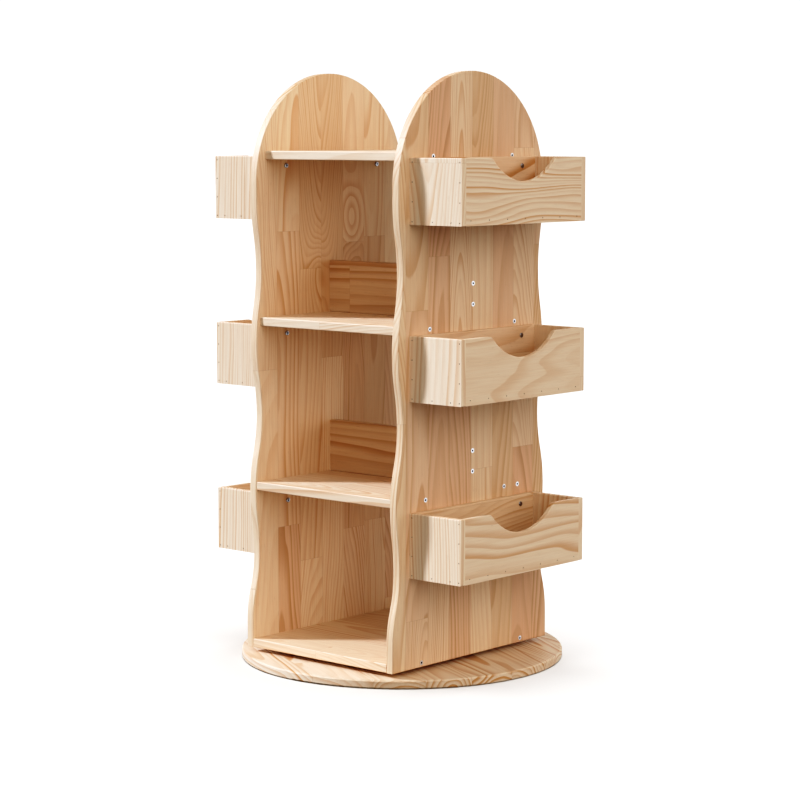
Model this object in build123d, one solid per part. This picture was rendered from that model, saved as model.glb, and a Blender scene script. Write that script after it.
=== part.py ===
"""Rotating display rack: a two-sided pine tower with three tiers, six side boxes and a turntable base.

Millimetres, +Z up. The origin is on the floor, on the turntable's axis. The tower's two open fronts
face -Y and +Y, and its side panels, which carry the boxes, face -X and +X.
"""

from build123d import *

import os
from math import cos, radians, sin, sqrt

# ---- driving dimensions ---------------------------------------------------------------------------

# base disc
disc_diameter = 600.0
disc_thickness = 16.0
disc_edge_radius = 3.0

# turntable: two pressed plates with a ring of balls between them
bearing_height = 9.0
bearing_plate_side = 200.0
bearing_plate_corner = 12.0
bearing_plate_thickness = 1.5
bearing_centre_hole = 60.0
ball_circle_radius = 75.0
ball_diameter = 5.0
ball_count = 24
ball_clearance = 0.15
race_half_width = 5.0
race_gap = 1.0
lip_clearance = 0.35
lip_reach = 2.5
race_wall = 1.2
cage_thickness = 0.8
cage_margin = 1.0
plate_screw_edge_distance = 15.0
access_hole_diameter = 18.0

# tower
tower_width = 360.0
tower_depth = 437.0
tower_shift_y = -12.0
board_thickness = 16.0
board_edge_radius = 2.0
tier_pitches = (292.0, 303.0, 303.0)

# wavy outline of a side panel: drops below the shelves, and insets from the tower's depth
foot_straight = 50.0
lobe_drops = (5.0, 38.0)
lobe_insets = (9.5, 14.5)
valley_insets = (18.5, 27.5, 28.0)
arch_drop = 52.0
arch_inset = 16.0
arch_straight = 25.0

# shelves and stop rails
shelf_insets = {"bottom": 0.0, "lower": 11.0, "upper": 23.5, "top": 39.5}
shelf_screw_edge_distances = {"bottom": 77.5, "lower": 77.0, "upper": 75.5, "top": 68.5}
extra_screw_y = 91.5
rail_height = 97.0
rail_screw_spacing = 37.5

# side boxes
box_length = 350.0
box_reach = 118.0
box_height = 116.0
box_board = 12.0
box_back_board = 12.0
box_front_board = 9.0
box_edge_radius = 1.5
box_floor_radius = 0.5
box_floor_recess = 1.5
box_drops = {"top": 2.0, "middle": 8.5, "bottom": 18.5}
scoop_depth = 41.5
scoop_radius = 118.0
scoop_lip_radius = 14.0
scoop_shift_y = -1.5
box_bolt_y = 125.0
box_bolt_drop = 17.0

# brads: their rows and columns in the box boards
brad_board_distance = 7.5
brad_column_count = 4
end_brad_level = 5.5
end_floor_brad_reaches = (52.0, 94.0)
long_brad_level = 9.0
long_brad_count = 7
long_brad_end_distance = 25.0
brad_set_depth = 0.8

# fasteners
carcass_screw = {"head": 8.6, "head_height": 3.6, "shank": 4.6, "length": 50.0, "tip": 5.0}
hexagon_width = 3.6
hexagon_depth = 2.6
plate_screw = {"head": 7.0, "head_height": 2.2, "shank": 3.4, "length": 13.0, "tip": 3.0}
brad = {"head": 2.2, "head_height": 1.0, "shank": 1.5, "length": 25.0}
bolt_head_diameter = 9.0
bolt_head_height = 2.6
bolt_head_dome = 1.6
bolt_diameter = 4.0
sleeve_diameter = 6.0
sleeve_head_height = 1.6
sleeve_head_dome = 1.0
sleeve_end_gap = 3.0
slot_width = 1.3
slot_length = 5.0
slot_depth = 1.6
fastener_clearance = 0.1

# ---- levels and places that follow from them ------------------------------------------------------

tower_foot = disc_thickness + bearing_height
half_width = tower_width / 2
half_depth = tower_depth / 2
inner_half_width = half_width - board_thickness

shelf_levels = {"bottom": tower_foot + board_thickness / 2}
for below, above, pitch in zip(("bottom", "lower", "upper"), ("lower", "upper", "top"), tier_pitches):
    shelf_levels[above] = shelf_levels[below] + pitch

arch_centre = shelf_levels["top"] - arch_drop
arch_radius = half_depth - arch_inset

rail_levels = {
    name: shelf_levels[name] + (board_thickness + rail_height) / 2 for name in ("upper", "lower")
}

sides = {"left": -1, "right": 1}
box_shelves = {"top": "top", "middle": "upper", "bottom": "lower"}
box_tops = {row: shelf_levels[shelf] - box_drops[row] for row, shelf in box_shelves.items()}

race_centre = disc_thickness + bearing_height / 2
race_inner = ball_circle_radius - race_half_width
race_outer = ball_circle_radius + race_half_width
lower_plate_top = disc_thickness + bearing_plate_thickness
upper_plate_bottom = tower_foot - bearing_plate_thickness
lip_thickness = (upper_plate_bottom - race_centre - race_gap - 2 * lip_clearance) / 2
plate_screw_place = bearing_plate_side / 2 - plate_screw_edge_distance


# ---- helpers --------------------------------------------------------------------------------------


def turned(*points):
    """A solid turned about Z from a closed outline of (radius, height) points."""
    return revolve(make_face(Plane.XZ * Polyline(*points, close=True)), Axis.Z)


def ring(inner, outer, low, high):
    """A flat ring about Z between two heights."""
    return turned((inner, low), (outer, low), (outer, high), (inner, high))


def rod(diameter, low, high):
    """A round bar about Z between two heights."""
    return turned((0, low), (diameter / 2, low), (diameter / 2, high), (0, high))


def board(size_x, size_y, size_z, centre, along, radius):
    """A plank whose four edges along one axis are rounded."""
    plank = Pos(*centre) * Box(size_x, size_y, size_z)
    return fillet(plank.edges().filter_by(along), radius)


def placed(fastener, places):
    """Copies of a fastener, or of its hole: made with its head at the origin, facing +Z."""
    return [Plane(origin=place, z_dir=outward) * fastener for place, outward in places]


def cut(shape, cutters):
    """Takes away the cutters that come near the shape."""
    box = shape.bounding_box()
    near = [cutter for cutter in cutters if box.overlaps(cutter.bounding_box())]
    return shape - near if near else shape


# ---- fasteners ------------------------------------------------------------------------------------


def countersunk(head, head_height, shank, length, tip, grow=0.0):
    """A countersunk screw, or with grow the hole that it needs."""
    neck = shank / 2 + grow
    return turned(
        (0, 0),
        (head / 2 + grow, 0),
        (neck, -head_height - grow),
        (neck, tip - length),
        (0, -length - grow),
    )


def wire_pin(head, head_height, shank, length, grow=0.0, rise=0.0):
    """A headed brad, or with grow and rise the hole that it leaves, up to the board's surface."""
    head_radius = head / 2 + grow
    shank_radius = shank / 2 + grow
    return turned(
        (0, rise),
        (head_radius, rise),
        (head_radius, -head_height - grow),
        (shank_radius, -head_height - grow),
        (shank_radius, -length - grow),
        (0, -length - grow),
    )


def domed_head(height, dome):
    """A low round head that stands on the origin."""
    head = rod(bolt_head_diameter, 0, height)
    return fillet(head.edges().sort_by(Axis.Z)[-1], dome)


def slot(level):
    """A screwdriver slot, cut down from a level."""
    return Pos(0, 0, level - slot_depth / 2) * Box(slot_length, slot_width, slot_depth)


def cross(level):
    """A cross recess, cut down from a level."""
    return slot(level) + Rot(0, 0, 90) * slot(level)


def socket_screw():
    """A countersunk screw with a hexagon socket."""
    hexagon = RegularPolygon(hexagon_width / 2, 6, major_radius=False)
    return countersunk(**carcass_screw) - extrude(hexagon, -hexagon_depth)


def box_bolt():
    """A bolt with a domed cross head, which is inside the tower."""
    length = board_thickness + box_back_board - sleeve_end_gap
    bolt = domed_head(bolt_head_height, bolt_head_dome) + rod(bolt_diameter, -length, 0)
    return bolt - cross(bolt_head_height)


def sleeve_nut():
    """A slotted sleeve nut for a box bolt, with its domed head inside the box."""
    sleeve = domed_head(sleeve_head_height, sleeve_head_dome) + rod(sleeve_diameter, -box_back_board, 0)
    bore = rod(
        bolt_diameter + 2 * fastener_clearance,
        -2 * box_back_board,
        fastener_clearance - sleeve_end_gap,
    )
    return sleeve - bore - slot(sleeve_head_height)


def shelf_screw_places():
    """Where the shelf screws' heads are: on the side panels' outer faces, level with the shelves."""
    places = [((half_width, tower_shift_y + extra_screw_y, shelf_levels["lower"]), (1, 0, 0))]
    for sign in sides.values():
        for name, level in shelf_levels.items():
            reach = half_depth - shelf_insets[name] - shelf_screw_edge_distances[name]
            for y in (-reach, reach):
                places.append(((sign * half_width, tower_shift_y + y, level), (sign, 0, 0)))
    return places


def rail_screw_places():
    """Where the stop rails' screws are: two, one above the other, at each end of each rail."""
    return [
        ((sign * half_width, tower_shift_y, level + rise), (sign, 0, 0))
        for sign in sides.values()
        for level in rail_levels.values()
        for rise in (-rail_screw_spacing / 2, rail_screw_spacing / 2)
    ]


def bolt_places(seat, facing):
    """Where the box bolts' heads (facing -1) or their nuts' heads (facing 1) sit on their boards."""
    return [
        ((sign * seat, tower_shift_y + y, top - box_bolt_drop), (facing * sign, 0, 0))
        for sign in sides.values()
        for top in box_tops.values()
        for y in (-box_bolt_y, box_bolt_y)
    ]


def plate_screw_places(level, facing):
    """The corners of a turntable plate where its screws are."""
    return [
        ((x, y, level), (0, 0, facing))
        for x in (-plate_screw_place, plate_screw_place)
        for y in (-plate_screw_place, plate_screw_place)
    ]


carcass_places = shelf_screw_places() + rail_screw_places()
carcass_holes = placed(countersunk(**carcass_screw, grow=fastener_clearance), carcass_places)

bolt_head_places = bolt_places(inner_half_width, -1)
nut_head_places = bolt_places(half_width + box_back_board, 1)
bolt_hole = rod(bolt_diameter + 2 * fastener_clearance, -board_thickness - box_back_board, board_thickness)
sleeve_hole = rod(sleeve_diameter + 2 * fastener_clearance, -box_back_board, box_back_board)
bolt_holes = placed(bolt_hole, bolt_head_places)
sleeve_holes = placed(sleeve_hole, nut_head_places)

base_screw_places = plate_screw_places(lower_plate_top, 1)
tower_screw_places = plate_screw_places(upper_plate_bottom, -1)
plate_screw_solid = countersunk(**plate_screw) - cross(0)
plate_screw_hole = countersunk(**plate_screw, grow=fastener_clearance)
base_screw_holes = placed(plate_screw_hole, base_screw_places)
tower_screw_holes = placed(plate_screw_hole, tower_screw_places)


# ---- base and turntable ---------------------------------------------------------------------------


def base_disc():
    """The round base, with one hole through which the upper plate's screws are reached."""
    disc = fillet(rod(disc_diameter, 0, disc_thickness).edges(), disc_edge_radius)
    access = Pos(0, plate_screw_place * sqrt(2), 0) * rod(access_hole_diameter, -disc_thickness, tower_foot)
    return cut(disc, [access, *base_screw_holes])


def bearing_plate(low):
    """A square sheet-steel plate with a centre hole, from a height upwards."""
    middle = (0, 0, low + bearing_plate_thickness / 2)
    plate = board(
        bearing_plate_side,
        bearing_plate_side,
        bearing_plate_thickness,
        middle,
        Axis.Z,
        bearing_plate_corner,
    )
    return plate - Pos(*middle) * rod(bearing_centre_hole, -bearing_plate_thickness, bearing_plate_thickness)


def ball_groove():
    return Pos(0, 0, race_centre) * Torus(ball_circle_radius, ball_diameter / 2 + ball_clearance)


def lower_plate():
    """The plate on the base: its race, and a wall outside it whose lip folds over the upper flange."""
    wall_inner = race_outer + lip_reach + lip_clearance
    wall_outer = wall_inner + race_wall
    lip_top = upper_plate_bottom - lip_clearance
    plate = bearing_plate(disc_thickness)
    plate += ring(race_inner, race_outer, lower_plate_top, race_centre - race_gap)
    plate += ring(wall_inner, wall_outer, lower_plate_top, lip_top)
    plate += ring(race_outer + lip_clearance, wall_outer, lip_top - lip_thickness, lip_top)
    return cut(plate - ball_groove(), base_screw_holes)


def upper_plate():
    """The plate under the tower: its race, and the flange that the lower plate's lip holds down."""
    flange_low = race_centre + race_gap
    plate = bearing_plate(upper_plate_bottom)
    plate += ring(race_inner, race_outer, flange_low, upper_plate_bottom)
    plate += ring(race_outer, race_outer + lip_reach, flange_low, flange_low + lip_thickness)
    return cut(plate - ball_groove(), tower_screw_holes)


def ball_places():
    angles = [radians(360 / ball_count * i) for i in range(ball_count)]
    return [Pos(ball_circle_radius * cos(a), ball_circle_radius * sin(a), race_centre) for a in angles]


def ball_cage():
    """A thin ring that keeps the balls apart."""
    inner = race_inner + cage_margin
    outer = race_outer - cage_margin
    cage = ring(inner, outer, race_centre - cage_thickness / 2, race_centre + cage_thickness / 2)
    pocket = rod(ball_diameter + 2 * ball_clearance, -cage_thickness, cage_thickness)
    return cage - [place * pocket for place in ball_places()]


# ---- tower ----------------------------------------------------------------------------------------


def wave_points():
    """(inset, height) of the wavy edge's extremes, from the top of the foot to the foot of the arch."""
    lobes = [(0.0, tower_foot + foot_straight)]
    for name, drop, inset in zip(("lower", "upper"), lobe_drops, lobe_insets):
        lobes.append((inset, shelf_levels[name] - drop))
    lobes.append((arch_inset, arch_centre - arch_straight))
    points = [lobes[0]]
    for below, above, inset in zip(lobes, lobes[1:], valley_insets):
        points.append((inset, (below[1] + above[1]) / 2))
        points.append(above)
    return points


def wave(sign):
    """The wavy edge on one side: two tangent arcs from each extreme to the next."""
    points = [(sign * (half_depth - inset), height) for inset, height in wave_points()]
    edges = []
    for start, end in zip(points, points[1:]):
        middle = ((start[0] + end[0]) / 2, (start[1] + end[1]) / 2)
        edges.append(TangentArc(start, middle, tangent=(0, 1)))
        edges.append(TangentArc(end, middle, tangent=(0, -1)))
    return edges


def side_panel(sign):
    """A wavy board with an arched top, between a column of boxes and the shelves."""
    wave_foot = tower_foot + foot_straight
    wave_head = arch_centre - arch_straight
    edges = [Line((-half_depth, tower_foot), (half_depth, tower_foot))]
    for side in (-1, 1):
        edges.append(Line((side * half_depth, tower_foot), (side * half_depth, wave_foot)))
        edges += wave(side)
        edges.append(Line((side * arch_radius, wave_head), (side * arch_radius, arch_centre)))
    crown = (0, arch_centre + arch_radius)
    edges.append(ThreePointArc((-arch_radius, arch_centre), crown, (arch_radius, arch_centre)))
    panel = extrude(make_face(Plane.YZ * Curve(edges)), board_thickness)
    panel = fillet(panel.edges().filter_by(Axis.X, reverse=True), board_edge_radius)
    panel = Pos(inner_half_width if sign > 0 else -half_width, tower_shift_y, 0) * panel
    return cut(panel, carcass_holes + bolt_holes)


def shelf(name):
    """A board between the side panels, with rounded front and rear edges."""
    depth = tower_depth - 2 * shelf_insets[name]
    centre = (0, tower_shift_y, shelf_levels[name])
    plank = board(2 * inner_half_width, depth, board_thickness, centre, Axis.X, board_edge_radius)
    return cut(plank, carcass_holes + tower_screw_holes)


def stop_rail(name):
    """A low board across the middle of a tier that keeps goods from sliding through."""
    centre = (0, tower_shift_y, rail_levels[name])
    plank = board(2 * inner_half_width, board_thickness, rail_height, centre, Axis.X, board_edge_radius)
    return cut(plank, carcass_holes)


# ---- side boxes -----------------------------------------------------------------------------------


def scoop():
    """The finger notch's outline in (Y, height above the rim): a bowl between two rounded lips."""
    bowl_centre = scoop_radius - scoop_depth
    share = scoop_radius / (scoop_radius + scoop_lip_radius)
    lip = sqrt((scoop_radius + scoop_lip_radius) ** 2 - (bowl_centre + scoop_lip_radius) ** 2)
    knee = (lip * share, bowl_centre - (bowl_centre + scoop_lip_radius) * share)
    edges = [ThreePointArc((-knee[0], knee[1]), (0, -scoop_depth), knee)]
    for sign in (-1, 1):
        edges.append(TangentArc((sign * lip, 0), (sign * knee[0], knee[1]), tangent=(-sign, 0)))
        edges.append(Line((sign * lip, 0), (sign * lip, scoop_depth)))
    edges.append(Line((-lip, scoop_depth), (lip, scoop_depth)))
    return make_face(Plane.YZ * Curve(edges))


def scooped_front(size_x, size_y, size_z, centre):
    """A box's front board, with its notch and with the edges of its top rim rounded."""
    plank = Pos(*centre) * Box(size_x, size_y, size_z)
    rim = (centre[0] - 2 * size_x, centre[1] + scoop_shift_y, centre[2] + size_z / 2)
    plank -= Pos(*rim) * extrude(scoop(), 4 * size_x)
    faces = plank.faces().filter_by(Axis.X)
    sides_and_foot = faces.edges().filter_by(Axis.Z) + faces.edges().group_by(Axis.Z)[0]
    edges = [edge for edge in faces.edges() if edge not in sides_and_foot]
    return fillet(edges, box_edge_radius)


def brad_places(sign, top):
    """Where one box's brads are: two columns and a low row on each end, and a low row front and back."""
    low = top - box_height
    column_step = (box_height - end_brad_level - brad_board_distance) / (brad_column_count - 1)
    row_step = (box_length - 2 * long_brad_end_distance) / (long_brad_count - 1)
    column_reaches = (box_back_board / 2, box_reach - box_front_board / 2)
    columns = [(reach, i) for reach in column_reaches for i in range(brad_column_count)]
    places = []
    for end in (-1, 1):
        y = tower_shift_y + end * (box_length / 2 - brad_set_depth)
        for reach, i in columns:
            x = sign * (half_width + reach)
            places.append(((x, y, low + end_brad_level + i * column_step), (0, end, 0)))
        for reach in end_floor_brad_reaches:
            places.append(((sign * (half_width + reach), y, low + end_brad_level), (0, end, 0)))
    for i in range(long_brad_count):
        y = tower_shift_y - box_length / 2 + long_brad_end_distance + i * row_step
        front = sign * (half_width + box_reach - brad_set_depth)
        back = sign * (half_width + brad_set_depth)
        places.append(((front, y, low + long_brad_level), (sign, 0, 0)))
        places.append(((back, y, low + long_brad_level), (-sign, 0, 0)))
    return places


def side_box(side, row):
    """The boards of one open-topped box, bolted to a side panel and pinned with brads."""
    sign, top = sides[side], box_tops[row]
    middle = top - box_height / 2
    inner_length = box_length - 2 * box_board
    places = brad_places(sign, top)
    brad_hole = wire_pin(**brad, grow=fastener_clearance, rise=2 * brad_set_depth)
    holes = placed(brad_hole, places) + bolt_holes + sleeve_holes

    def at(reach, y, z):
        return (sign * (half_width + reach), tower_shift_y + y, z)

    back_at = at(box_back_board / 2, 0, middle)
    front_at = at(box_reach - box_front_board / 2, 0, middle)
    floor_depth = box_reach - box_front_board - box_back_board
    floor_level = top - box_height + box_floor_recess + box_board / 2
    floor_at = at(box_back_board + floor_depth / 2, 0, floor_level)
    boards = {
        "back": board(box_back_board, inner_length, box_height, back_at, Axis.Y, box_edge_radius),
        "front": scooped_front(box_front_board, inner_length, box_height, front_at),
        "floor": board(floor_depth, inner_length, box_board, floor_at, Axis.Y, box_floor_radius),
    }
    for end, y in (("front", -1), ("rear", 1)):
        end_at = at(box_reach / 2, y * (box_length - box_board) / 2, middle)
        plank = Pos(*end_at) * Box(box_reach, box_board, box_height)
        edges = plank.edges().filter_by(Axis.Y) + plank.edges().filter_by(Axis.X).group_by(Axis.Z)[-1]
        boards[f"end_{end}"] = fillet(edges, box_edge_radius)
    pieces = {f"box_{side}_{row}_{name}": cut(shape, holes) for name, shape in boards.items()}
    pieces[f"box_{side}_{row}_brads"] = placed(wire_pin(**brad), places)
    return pieces


# ---- all the pieces -------------------------------------------------------------------------------

pieces = {
    "base_disc": base_disc(),
    "bearing_lower_plate": lower_plate(),
    "bearing_upper_plate": upper_plate(),
    "bearing_ball_cage": ball_cage(),
    "bearing_balls": [place * Sphere(ball_diameter / 2) for place in ball_places()],
    "bearing_base_screws": placed(plate_screw_solid, base_screw_places),
    "bearing_tower_screws": placed(plate_screw_solid, tower_screw_places),
    "shelf_screws": placed(socket_screw(), shelf_screw_places()),
    "rail_screws": placed(socket_screw(), rail_screw_places()),
    "box_bolts": placed(box_bolt(), bolt_head_places),
    "box_sleeve_nuts": placed(sleeve_nut(), nut_head_places),
}
for side, sign in sides.items():
    pieces[f"side_panel_{side}"] = side_panel(sign)
for name in shelf_levels:
    pieces[f"shelf_{name}"] = shelf(name)
for name in rail_levels:
    pieces[f"stop_rail_{name}"] = stop_rail(name)
for side in sides:
    for row in box_tops:
        pieces.update(side_box(side, row))

os.makedirs("parts", exist_ok=True)
for name, piece in pieces.items():
    shapes = piece if isinstance(piece, list) else [piece]
    solids = [solid for shape in shapes for solid in shape.solids()]
    export_step(solids[0] if len(solids) == 1 else Compound(children=solids), f"parts/{name}.step")
    print(name, len(solids))
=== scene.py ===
from math import cos, pi, radians, sin

import bmesh
import bpy
from mathutils import Euler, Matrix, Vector

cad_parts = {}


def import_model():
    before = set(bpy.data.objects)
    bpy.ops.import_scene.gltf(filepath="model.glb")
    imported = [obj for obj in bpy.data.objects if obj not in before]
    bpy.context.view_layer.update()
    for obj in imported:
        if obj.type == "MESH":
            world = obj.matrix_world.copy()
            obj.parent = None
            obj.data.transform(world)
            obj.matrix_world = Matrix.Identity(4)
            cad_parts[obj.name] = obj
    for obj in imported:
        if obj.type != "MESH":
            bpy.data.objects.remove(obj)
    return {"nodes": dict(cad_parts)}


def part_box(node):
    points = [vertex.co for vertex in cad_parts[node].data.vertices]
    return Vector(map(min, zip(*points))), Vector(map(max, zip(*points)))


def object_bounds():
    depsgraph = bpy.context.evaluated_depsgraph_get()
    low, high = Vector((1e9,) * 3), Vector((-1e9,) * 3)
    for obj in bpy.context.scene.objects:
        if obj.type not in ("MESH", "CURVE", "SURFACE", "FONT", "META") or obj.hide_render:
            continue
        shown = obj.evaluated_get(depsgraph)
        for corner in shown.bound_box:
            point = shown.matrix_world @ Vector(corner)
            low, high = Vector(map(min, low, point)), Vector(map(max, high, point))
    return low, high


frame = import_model()
cad_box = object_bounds()

# ---- view, stage and lamps, in metres and degrees, with the lens in millimetres ---------------------

view_azimuth = 41.17
view_fall = 6.43
view_distance = 4.46
view_lens = 108.0
aim_height_share = 0.442
aim_left = 0.0038

stage_radius = 200.0
stage_sides = 96
stage_drop = 0.0005
paper = (0.86, 0.855, 0.85, 1)
paper_cloud = (0.88, 0.875, 0.87, 1)
paper_roughness = (0.7, 0.8)
paper_relief = 0.0001

# each lamp's azimuth, height, strength, width and colour
rack_lamps = {
    "key": (-56, 30, 4.5, 8, (0.79, 0.86, 1.0)),
    "fill": (74, 26, 1.27, 60, (1.0, 0.945, 0.88)),
    "front": (36, 8, 0.22, 40, (1.0, 0.93, 0.84)),
    "rear": (150, 8, 0.75, 45, (1.0, 0.93, 0.84)),
    "back": (205, 12, 0.7, 45, (1.0, 0.93, 0.84)),
    "top": (30, 72, 0.7, 60, (1.0, 0.97, 0.92)),
}
floor_lamp = (0, 89, 4.4, 60, (1.0, 1.0, 1.0))
surround_seen = 1.06
surround_light = 0.13

# the picture's contrast: a lightness, and the lightness it is shown with
tone_steps = (
    (0.06, 0.018),
    (0.12, 0.068),
    (0.2, 0.16),
    (0.3, 0.285),
    (0.42, 0.44),
    (0.6, 0.66),
    (0.8, 0.85),
)

# ---- node trees -----------------------------------------------------------------------------------


def feed(tree, socket, value):
    """Gives a socket its value: a number, a colour, or another node's output, which is then linked."""
    if isinstance(value, bpy.types.NodeSocket):
        tree.links.new(value, socket)
    else:
        socket.default_value = value


def add(tree, kind, values=None, **settings):
    """Adds a node with its settings and the values of its inputs."""
    node = tree.nodes.new(kind)
    for name, setting in settings.items():
        setattr(node, name, setting)
    for key, value in (values or {}).items():
        feed(tree, node.inputs[key], value)
    return node


def calc(tree, operation, *values):
    """One step of arithmetic."""
    return add(tree, "ShaderNodeMath", dict(enumerate(values)), operation=operation).outputs[0]


def spread(tree, luck, low, high):
    """Takes a number from 0 to 1 to the span low..high."""
    return calc(tree, "MULTIPLY_ADD", luck, high - low, low)


def vector_calc(tree, operation, *values):
    """One step of vector arithmetic."""
    node = add(tree, "ShaderNodeVectorMath", dict(enumerate(values)), operation=operation)
    return node.outputs["Value" if operation in ("DOT_PRODUCT", "LENGTH") else "Vector"]


def join(tree, x, y, z):
    return add(tree, "ShaderNodeCombineXYZ", {0: x, 1: y, 2: z}).outputs[0]


def ramp(tree, value, low, high, to_low=0.0, to_high=1.0, smooth=True):
    """Takes value from the span low..high to the span to_low..to_high, and stops at its ends."""
    kind = "SMOOTHSTEP" if smooth else "LINEAR"
    values = {"Value": value, "From Min": low, "From Max": high, "To Min": to_low, "To Max": to_high}
    return add(tree, "ShaderNodeMapRange", values, interpolation_type=kind).outputs[0]


def noise(tree, vector, scale=1.0, detail=2.0, roughness=0.5):
    values = {"Vector": vector, "Scale": scale, "Detail": detail, "Roughness": roughness}
    return add(tree, "ShaderNodeTexNoise", values).outputs[0]


def dice(tree, x, y, z):
    """Three random numbers from 0 to 1 that depend only on x, y and z."""
    node = add(tree, "ShaderNodeTexWhiteNoise", {"Vector": join(tree, x, y, z)}, noise_dimensions="3D")
    return add(tree, "ShaderNodeSeparateXYZ", {0: node.outputs["Color"]}).outputs


def blend(tree, factor, a, b, mode="MIX"):
    """Mixes two colours. The node's sockets share their names, so each is found by its type as well."""
    node = add(tree, "ShaderNodeMix", data_type="RGBA", blend_type=mode)
    for name, kind, value in (("Factor", "VALUE", factor), ("A", "RGBA", a), ("B", "RGBA", b)):
        socket = next(s for s in node.inputs if s.name == name and s.type == kind)
        feed(tree, socket, value)
    return next(s for s in node.outputs if s.type == "RGBA")


def new_material(name):
    material = bpy.data.materials.new(name)
    material.use_nodes = True
    tree = material.node_tree
    tree.nodes.clear()
    shader = add(tree, "ShaderNodeBsdfPrincipled")
    output = add(tree, "ShaderNodeOutputMaterial", {"Surface": shader.outputs[0]})
    output.is_active_output = True
    return material, tree, shader


def finish_surface(tree, shader, color, roughness, height, distance):
    """Gives a material its colour, its roughness, and a relief as high as distance."""
    tree.links.new(color, shader.inputs["Base Color"])
    tree.links.new(roughness, shader.inputs["Roughness"])
    bump = add(tree, "ShaderNodeBump", {"Height": height, "Distance": distance, "Strength": 1.0})
    tree.links.new(bump.outputs[0], shader.inputs["Normal"])


# ---- pine -----------------------------------------------------------------------------------------

early_wood = (0.87, 0.69, 0.50, 1)
pale_wood = (0.89, 0.74, 0.57, 1)
late_wood = (0.62, 0.32, 0.14, 1)
heart_wood = (0.66, 0.42, 0.24, 1)
rosy_wood = (0.73, 0.47, 0.31, 1)
old_late_wood = (0.40, 0.19, 0.08, 1)
pitch_dark = (0.40, 0.23, 0.12, 1)

# how often each pattern changes in a metre: across the staves, through the board and along the grain
slow_bends = (12.0, 12.0, 2.4)
quick_bends = (42.0, 42.0, 6.0)
knot_bends = (34.0, 0.0, 15.0)
fibres = (1100.0, 1100.0, 26.0)
streaks = (230.0, 230.0, 7.0)
canals = (900.0, 900.0, 60.0)

# the spans that the random numbers of a stave, or of one of its years, are taken to
pith_across = (-0.05, 0.05)
pith_depth = (0.014, 0.074)
pith_lean = (-0.1, 0.1)
ring_widths = (0.5, 1.7)
year_strengths = (0.2, 1.0)
stave_strengths = (0.65, 1.0)

# what keeps the random numbers of one use apart from those of the next
seed_slide = 0.37
row_slide = 3.0
row_draw = 7.0
second_draw = 31.0
noise_slide = 40.0

# where each feature starts and is complete
late_wood_growth = (0.25, 0.90)
late_wood_stop = (0.92, 1.0)
canal_edge = (0.68, 0.76)
streak_edge = (0.30, 0.72)
glue_line = (0.0001, 0.0006)
end_grain_facing = (0.6, 0.95)

# how strongly each feature shows
quick_wander = 0.0015
knot_push = 0.034
tone_rarity = 1.5
end_contrast = (1.0, 1.9)
streak_strength = 0.16
canal_strength = 0.25
end_strength = 0.14
line_strength = 0.3
fibre_shades = (0.93, 1.05)
fibre_roughness = (0.42, 0.58)
late_wood_gloss = 0.06
fibre_height = 0.45
late_wood_height = 0.30
line_depth = 0.5
wood_relief = 0.00025
wood_shine = 0.35

usual_pine = {
    "Stave width": 0.06,
    "Stave length": 0.55,
    "Ring": 0.0065,
    "Swirl": 0.03,
    "Figure": 0.72,
    "Painted shade": 0.0,
    "Tones": 0.9,
    "Early wood": early_wood,
}
one_stave = {"Stave width": 0.3, "Stave length": 1.2}
disc_pine = {
    "Stave width": 0.085,
    "Stave length": 0.9,
    "Ring": 0.008,
    "Swirl": 0.05,
    "Figure": 1.5,
    "Tones": 0.2,
    "Early wood": pale_wood,
}
# the right panel is darkened as a whole: painted shade for where the boxes shade it
right_panel_pine = {"Painted shade": 0.17}
left_panel_pine = {"Swirl": 0.04}
shelf_pine = {"Tones": 0.3, "Early wood": pale_wood}
bottom_shelf_pine = {"Tones": 0.3, "Early wood": early_wood}
# the rails are darkened as a whole: painted shade deep in the tower
rail_pine = one_stave | {"Ring": 0.012, "Painted shade": 0.3, "Figure": 1.2, "Tones": 0.2}
box_end_pine = one_stave | {"Ring": 0.008, "Tones": 0.1, "Early wood": pale_wood}
box_front_pine = one_stave | {"Ring": 0.013, "Swirl": 0.10, "Tones": 0.2, "Early wood": pale_wood}
# the box backs are darkened as a whole: painted shade inside the boxes
box_back_pine = box_front_pine | {"Painted shade": 0.25, "Early wood": early_wood}
box_figures = {"top": 1.4, "middle": 0.8, "bottom": 0.85}

disc_seed = 5.0
right_panel_seed = 11.0
left_panel_seed = 23.0
first_shelf_seed = 40.0
first_rail_seed = 50.0
first_box_seed = 60.0

disc_grain_turn = -27.0
far_away = Vector((9, 0, 9))
left_panel_knots = (Vector((0.055, 0, 0.255)), Vector((-0.035, 0, 0.155)))


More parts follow.
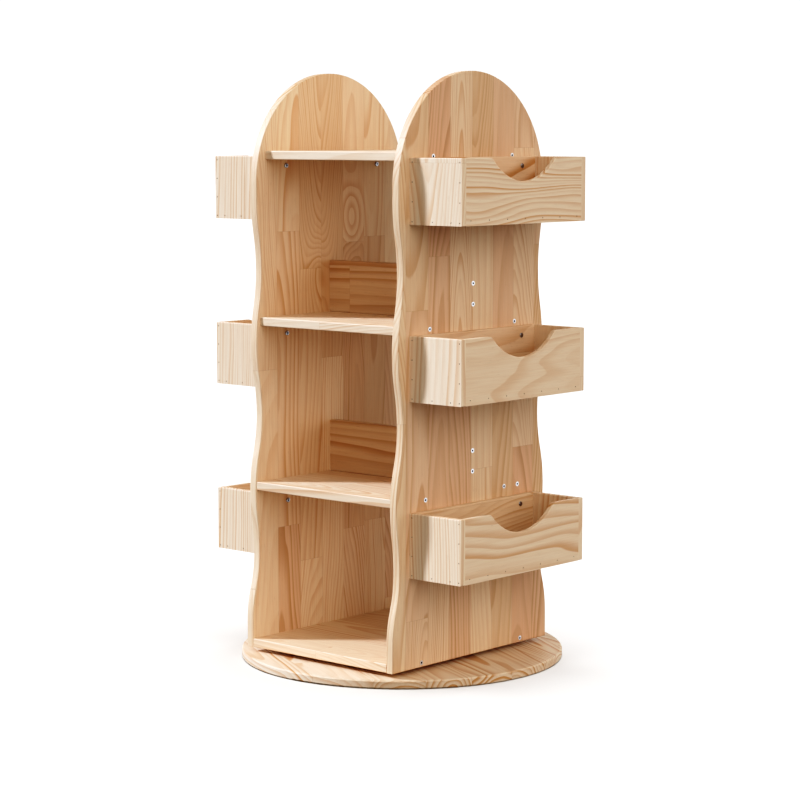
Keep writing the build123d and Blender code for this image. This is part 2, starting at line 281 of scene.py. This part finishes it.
def pine_group():
    """Edge-glued pine: growth rings round a pith of its own in every stave, fibres and glue lines.

    Place is (across the staves, through the board, along the grain), from the board's middle.
    """
    tree = bpy.data.node_groups.new("pine", "ShaderNodeTree")
    face = tree.interface
    for name in ("Place", "Knot A", "Knot B"):
        face.new_socket(name, in_out="INPUT", socket_type="NodeSocketVector")
    numbers = ("End", "Seed", "Stave width", "Stave length", "Ring", "Swirl", "Figure", "Painted shade", "Tones")
    for name in numbers:
        face.new_socket(name, in_out="INPUT", socket_type="NodeSocketFloat")
    face.new_socket("Early wood", in_out="INPUT", socket_type="NodeSocketColor")
    face.new_socket("Color", in_out="OUTPUT", socket_type="NodeSocketColor")
    face.new_socket("Roughness", in_out="OUTPUT", socket_type="NodeSocketFloat")
    face.new_socket("Height", in_out="OUTPUT", socket_type="NodeSocketFloat")
    given = add(tree, "NodeGroupInput").outputs
    width, length, seed = given["Stave width"], given["Stave length"], given["Seed"]
    across, depth, along = add(tree, "ShaderNodeSeparateXYZ", {0: given["Place"]}).outputs

    # which stave this is, and where in it
    column_at = calc(tree, "DIVIDE", across, width)
    column_at = calc(tree, "ADD", column_at, calc(tree, "FRACT", calc(tree, "MULTIPLY", seed, seed_slide)))
    column = calc(tree, "FLOOR", column_at)
    start = dice(tree, column, row_draw, seed)[0]
    row_at = calc(tree, "MULTIPLY_ADD", start, row_slide, calc(tree, "DIVIDE", along, length))
    row = calc(tree, "FLOOR", row_at)
    luck = dice(tree, column, row, seed)
    more_luck = dice(tree, column, row, calc(tree, "ADD", seed, second_draw))
    in_column = calc(tree, "MULTIPLY", calc(tree, "SUBTRACT", calc(tree, "FRACT", column_at), 0.5), width)

    # distance from the stave's own pith, which wanders and leans along the grain
    lean = spread(tree, luck[2], *pith_lean)
    shift = vector_calc(tree, "SCALE", join(tree, luck[0], luck[1], luck[2]))
    shift.node.inputs["Scale"].default_value = noise_slide
    slow = vector_calc(tree, "MULTIPLY", given["Place"], slow_bends)
    slow = noise(tree, vector_calc(tree, "ADD", slow, shift), detail=1.5)
    quick = vector_calc(tree, "MULTIPLY", given["Place"], quick_bends)
    quick = noise(tree, vector_calc(tree, "ADD", quick, shift), detail=2.0)
    wander = calc(tree, "MULTIPLY", calc(tree, "SUBTRACT", slow, 0.5), given["Swirl"])
    wander = calc(tree, "ADD", wander, spread(tree, quick, -quick_wander, quick_wander))
    side = calc(tree, "SUBTRACT", in_column, spread(tree, luck[0], *pith_across))
    down = calc(tree, "ADD", depth, spread(tree, luck[1], *pith_depth))
    reach = vector_calc(tree, "LENGTH", join(tree, side, down, 0.0))
    reach = calc(tree, "ADD", calc(tree, "ADD", reach, wander), calc(tree, "MULTIPLY", along, lean))

    # the rings bend round a knot that lies under the surface
    for knot in ("Knot A", "Knot B"):
        away = vector_calc(tree, "SUBTRACT", given["Place"], given[knot])
        away = vector_calc(tree, "LENGTH", vector_calc(tree, "MULTIPLY", away, knot_bends))
        fall = calc(tree, "MULTIPLY", calc(tree, "MULTIPLY", away, away), -1.0)
        swell = calc(tree, "EXPONENT", fall)
        reach = calc(tree, "MULTIPLY_ADD", swell, knot_push, reach)

    # pale early wood that darkens slowly to late wood, then starts again
    spacing = calc(tree, "MULTIPLY", given["Ring"], spread(tree, more_luck[0], *ring_widths))
    ring = calc(tree, "DIVIDE", reach, spacing)
    phase = calc(tree, "FRACT", ring)
    year = dice(tree, calc(tree, "FLOOR", ring), column, seed)
    stop = ramp(tree, phase, *late_wood_stop, 1.0, 0.0)
    late = calc(tree, "MULTIPLY", ramp(tree, phase, *late_wood_growth), stop)
    late = calc(tree, "MULTIPLY", late, spread(tree, year[0], *year_strengths))

    # fibres, and the short dark strokes of resin canals
    fibre = noise(tree, vector_calc(tree, "MULTIPLY", given["Place"], fibres), detail=3.0)
    streak = noise(tree, vector_calc(tree, "MULTIPLY", given["Place"], streaks), detail=3.0)
    canal = noise(tree, vector_calc(tree, "MULTIPLY", given["Place"], canals), detail=1.0)
    canal = ramp(tree, canal, *canal_edge, 0.0, canal_strength)

    # colours; the offset added to the random tone darkens a whole board towards the dark tones, as painted
    # shade
    tone = calc(tree, "POWER", more_luck[1], tone_rarity)
    tone = calc(tree, "MULTIPLY_ADD", tone, given["Tones"], given["Painted shade"])
    dark = blend(tree, ramp(tree, luck[2], 0.3, 0.7), heart_wood, rosy_wood)
    base = blend(tree, tone, given["Early wood"], dark)
    lines = blend(tree, tone, late_wood, old_late_wood)
    figure = calc(tree, "MULTIPLY", late, spread(tree, more_luck[2], *stave_strengths))
    figure = calc(tree, "MULTIPLY", figure, given["Figure"])
    figure = calc(tree, "MULTIPLY", figure, spread(tree, given["End"], *end_contrast))
    color = blend(tree, figure, base, lines)
    soft = ramp(tree, streak, *streak_edge, 0.0, streak_strength)
    color = blend(tree, soft, color, late_wood)
    color = blend(tree, canal, color, pitch_dark)
    grey = ramp(tree, fibre, 0.2, 0.8, *fibre_shades, smooth=False)
    color = blend(tree, 1.0, color, join(tree, grey, grey, grey), "MULTIPLY")
    color = blend(tree, calc(tree, "MULTIPLY", given["End"], end_strength), color, late_wood)

    # glue lines between staves, and butt lines of the finger joints
    edge = calc(tree, "SUBTRACT", calc(tree, "FRACT", column_at), 0.5)
    edge = calc(tree, "MULTIPLY", calc(tree, "SUBTRACT", 0.5, calc(tree, "ABSOLUTE", edge)), width)
    butt = calc(tree, "SUBTRACT", calc(tree, "FRACT", row_at), 0.5)
    butt = calc(tree, "MULTIPLY", calc(tree, "SUBTRACT", 0.5, calc(tree, "ABSOLUTE", butt)), length)
    line = ramp(tree, calc(tree, "MINIMUM", edge, butt), *glue_line, 1.0, 0.0)
    color = blend(tree, calc(tree, "MULTIPLY", line, line_strength), color, pitch_dark)

    rough = spread(tree, fibre, *fibre_roughness)
    rough = calc(tree, "SUBTRACT", rough, calc(tree, "MULTIPLY", late, late_wood_gloss))
    height = calc(tree, "MULTIPLY", late, late_wood_height)
    height = calc(tree, "MULTIPLY_ADD", fibre, fibre_height, height)
    height = calc(tree, "SUBTRACT", height, calc(tree, "MULTIPLY", line, line_depth))
    add(tree, "NodeGroupOutput", {"Color": color, "Roughness": rough, "Height": height})
    return tree


pine_nodes = pine_group()


def pine(name, across, through, along, seed, knots=(far_away, far_away), **changes):
    """One board's pine: the directions are across its staves, through it and along its grain."""
    low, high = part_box(name)
    middle = (low + high) / 2
    material, tree, shader = new_material("pine_" + name)
    where = add(tree, "ShaderNodeTexCoord").outputs
    place = vector_calc(tree, "SUBTRACT", where["Object"], middle)
    parts = [vector_calc(tree, "DOT_PRODUCT", place, d) for d in (across, through, along)]
    facing = calc(tree, "ABSOLUTE", vector_calc(tree, "DOT_PRODUCT", where["Normal"], along))
    end = ramp(tree, facing, *end_grain_facing)
    group = add(tree, "ShaderNodeGroup")
    group.node_tree = pine_nodes
    tree.links.new(join(tree, *parts), group.inputs["Place"])
    tree.links.new(end, group.inputs["End"])
    group.inputs["Seed"].default_value = seed
    for key, value in (usual_pine | changes).items():
        group.inputs[key].default_value = value
    for key, knot in zip(("Knot A", "Knot B"), knots):
        group.inputs[key].default_value = knot
    made = group.outputs
    finish_surface(tree, shader, made["Color"], made["Roughness"], made["Height"], wood_relief)
    shader.inputs["Specular IOR Level"].default_value = wood_shine
    return material


# ---- metals ---------------------------------------------------------------------------------------

# each metal's colour, the colour of its clouds, its roughness, and how fine the clouds are
metals = {
    "zinc_bright": ((0.78, 0.82, 0.88, 1), (0.60, 0.64, 0.70, 1), 0.30, 900.0),
    # a darker copy of the zinc for the bolts and sleeve nuts inside the tower: painted shade
    "zinc_shaded": ((0.46, 0.48, 0.52, 1), (0.30, 0.32, 0.36, 1), 0.26, 900.0),
    "zinc_plate": ((0.62, 0.64, 0.66, 1), (0.48, 0.50, 0.53, 1), 0.38, 220.0),
    "ball_steel": ((0.80, 0.80, 0.82, 1), (0.72, 0.72, 0.74, 1), 0.16, 600.0),
    "brad_wire": ((0.20, 0.17, 0.15, 1), (0.12, 0.10, 0.09, 1), 0.5, 1500.0),
}
metal_cloud = (0.3, 0.7)
roughness_swing = 0.1
# painted shade: the near-black laid into sockets and recesses, how far it reaches and where it fades in
painted_recess_shade = (0.03, 0.03, 0.035, 1)
recess_shade_reach = 0.0035
recess_shade_edge = (0.55, 0.95)
scratches = (3000.0, 900.0, 900.0)
metal_relief = 0.00005


def metal(name, color, shade, roughness, grain):
    """A metal with cloudy colour and roughness, fine scratches, and painted shade that darkens its
    recesses.
    """
    material, tree, shader = new_material(name)
    place = add(tree, "ShaderNodeTexCoord").outputs["Object"]
    cloud = noise(tree, place, scale=grain, detail=4.0, roughness=0.6)
    scratch = noise(tree, vector_calc(tree, "MULTIPLY", place, scratches), detail=2.0)
    tint = blend(tree, ramp(tree, cloud, *metal_cloud), color, shade)
    near = {"Distance": recess_shade_reach}
    # painted shade: ambient occlusion darkens the sockets and recesses towards a near-black
    open_air = add(tree, "ShaderNodeAmbientOcclusion", near, samples=8, only_local=True)
    open_air = ramp(tree, open_air.outputs["AO"], *recess_shade_edge)
    tint = blend(tree, open_air, painted_recess_shade, tint)
    rough = spread(tree, cloud, roughness - roughness_swing, roughness + roughness_swing)
    height = calc(tree, "ADD", scratch, cloud)
    finish_surface(tree, shader, tint, rough, height, metal_relief)
    shader.inputs["Metallic"].default_value = 1.0
    return material


# ---- what each CAD piece is made of -----------------------------------------------------------------


def dress(name, material):
    mesh = frame["nodes"][name].data
    mesh.materials.clear()
    mesh.materials.append(material)


X, Y, Z = (1, 0, 0), (0, 1, 0), (0, 0, 1)


def dress_disc():
    turn = radians(disc_grain_turn)
    along = (cos(turn), sin(turn), 0)
    across = (-sin(turn), cos(turn), 0)
    dress("base_disc", pine("base_disc", across, Z, along, disc_seed, **disc_pine))


def dress_tower():
    """The panels' grain is upright. That of the shelves and the rails runs from side to side."""
    right = pine("side_panel_right", Y, X, Z, right_panel_seed, **right_panel_pine)
    left = pine("side_panel_left", Y, X, Z, left_panel_seed, left_panel_knots, **left_panel_pine)
    dress("side_panel_right", right)
    dress("side_panel_left", left)
    for i, level in enumerate(("bottom", "lower", "upper", "top")):
        name = f"shelf_{level}"
        settings = bottom_shelf_pine if level == "bottom" else shelf_pine
        dress(name, pine(name, Y, Z, X, first_shelf_seed + i, **settings))
    for i, level in enumerate(("lower", "upper")):
        name = f"stop_rail_{level}"
        dress(name, pine(name, Z, Y, X, first_rail_seed + i, **rail_pine))


def dress_boxes():
    """Each board of each box has a seed of its own, so that no two look alike."""
    seed = first_box_seed
    for side in ("left", "right"):
        for row, figure in box_figures.items():
            boards = (
                ("front", (Z, X, Y), box_front_pine | {"Figure": figure}),
                ("back", (Z, X, Y), box_back_pine | {"Figure": figure}),
                ("end_front", (X, Y, Z), box_end_pine),
                ("end_rear", (X, Y, Z), box_end_pine),
                ("floor", (X, Z, Y), one_stave),
            )
            for part, directions, settings in boards:
                name = f"box_{side}_{row}_{part}"
                dress(name, pine(name, *directions, seed, **settings))
                seed += 1.0


def dress_metal():
    pieces = {
        "zinc_bright": ["shelf_screws", "rail_screws", "bearing_base_screws", "bearing_tower_screws"],
        "zinc_shaded": ["box_bolts", "box_sleeve_nuts"],
        "zinc_plate": ["bearing_lower_plate", "bearing_upper_plate", "bearing_ball_cage"],
        "ball_steel": ["bearing_balls"],
        "brad_wire": [name for name in frame["nodes"] if name.endswith("_brads")],
    }
    for kind, names in pieces.items():
        material = metal(kind, *metals[kind])
        for name in names:
            dress(name, material)


# ---- floor, light and camera ------------------------------------------------------------------------


def floor():
    """A plain pale floor: one wide round face, just under the disc."""
    mesh = bmesh.new()
    bmesh.ops.create_circle(mesh, cap_ends=True, segments=stage_sides, radius=stage_radius)
    data = bpy.data.meshes.new("floor")
    mesh.to_mesh(data)
    mesh.free()
    plane = bpy.data.objects.new("floor", data)
    bpy.context.scene.collection.objects.link(plane)
    plane.location.z = cad_box[0][2] - stage_drop
    material, tree, shader = new_material("floor_paper")
    place = add(tree, "ShaderNodeTexCoord").outputs["Object"]
    cloud = noise(tree, place, scale=1.5, detail=2.0)
    tint = blend(tree, cloud, paper, paper_cloud)
    rough = spread(tree, cloud, *paper_roughness)
    finish_surface(tree, shader, tint, rough, cloud, paper_relief)
    data.materials.append(material)
    plane.visible_diffuse = False
    return plane


def sun(name, azimuth, height, strength, width, color):
    """A broad distant lamp. Azimuth 0 shines along +Y, and a positive one comes from the +X side."""
    lamp = bpy.data.lights.new(name, "SUN")
    lamp.energy = strength
    lamp.angle = radians(width)
    lamp.color = color
    holder = bpy.data.objects.new(name, lamp)
    holder.rotation_euler = Euler((radians(90 - height), 0, radians(azimuth)))
    bpy.context.scene.collection.objects.link(holder)
    return holder


def wash(plane):
    """A lamp overhead that lights only the floor, which keeps it pale and the shadows on it faint."""
    lamp = sun("wash", *floor_lamp)
    lit = bpy.data.collections.new("washed")
    lit.objects.link(plane)
    lamp.light_linking.receiver_collection = lit


def keep_off(lamps, plane):
    """Keeps lamps off the floor, so that their hard shadows don't show on it."""
    unlit = bpy.data.collections.new("unlit")
    unlit.objects.link(plane)
    unlit.collection_objects[0].light_linking.link_state = "EXCLUDE"
    for lamp in lamps:
        lamp.light_linking.receiver_collection = unlit


def world():
    """A pale surround: it looks white, and lights the rack much less than it looks."""
    scene = bpy.context.scene
    scene.world = bpy.data.worlds.new("surround")
    scene.world.use_nodes = True
    tree = scene.world.node_tree
    tree.nodes.clear()
    seen = add(tree, "ShaderNodeBackground", {"Color": (1.0, 1.0, 1.0, 1), "Strength": surround_seen})
    warm = {"Color": (1.0, 0.97, 0.93, 1), "Strength": surround_light}
    light = add(tree, "ShaderNodeBackground", warm)
    path = add(tree, "ShaderNodeLightPath").outputs["Is Camera Ray"]
    mix = add(tree, "ShaderNodeMixShader", {0: path, 1: light.outputs[0], 2: seen.outputs[0]})
    add(tree, "ShaderNodeOutputWorld", {"Surface": mix.outputs[0]})


def camera():
    """Looks down a little at the rack's front right corner, from where the photo was taken."""
    top = cad_box[1][2]
    turn, fall = radians(view_azimuth), radians(view_fall)
    right = Vector((cos(turn), sin(turn), 0))
    ahead = Vector((-sin(turn) * cos(fall), cos(turn) * cos(fall), -sin(fall)))
    target = Vector((0, 0, aim_height_share * top)) - right * aim_left
    lens = bpy.data.cameras.new("camera")
    lens.lens = view_lens
    lens.clip_end = 3 * stage_radius
    holder = bpy.data.objects.new("camera", lens)
    holder.location = target - ahead * view_distance
    holder.rotation_euler = Euler((pi / 2 - fall, 0, turn))
    bpy.context.scene.collection.objects.link(holder)
    bpy.context.scene.camera = holder


def tone():
    """The picture's contrast: deeper shades than the plain transform gives, and soft lights."""
    view = bpy.context.scene.view_settings
    view.view_transform = "Standard"
    view.use_curve_mapping = True
    curve = view.curve_mapping.curves[3]
    for light, shown in tone_steps:
        curve.points.new(light, shown)
    view.curve_mapping.update()


dress_disc()
dress_tower()
dress_boxes()
dress_metal()
ground = floor()
lamps = [sun(name, *settings) for name, settings in rack_lamps.items()]
wash(ground)
keep_off(lamps, ground)
world()
camera()
tone()
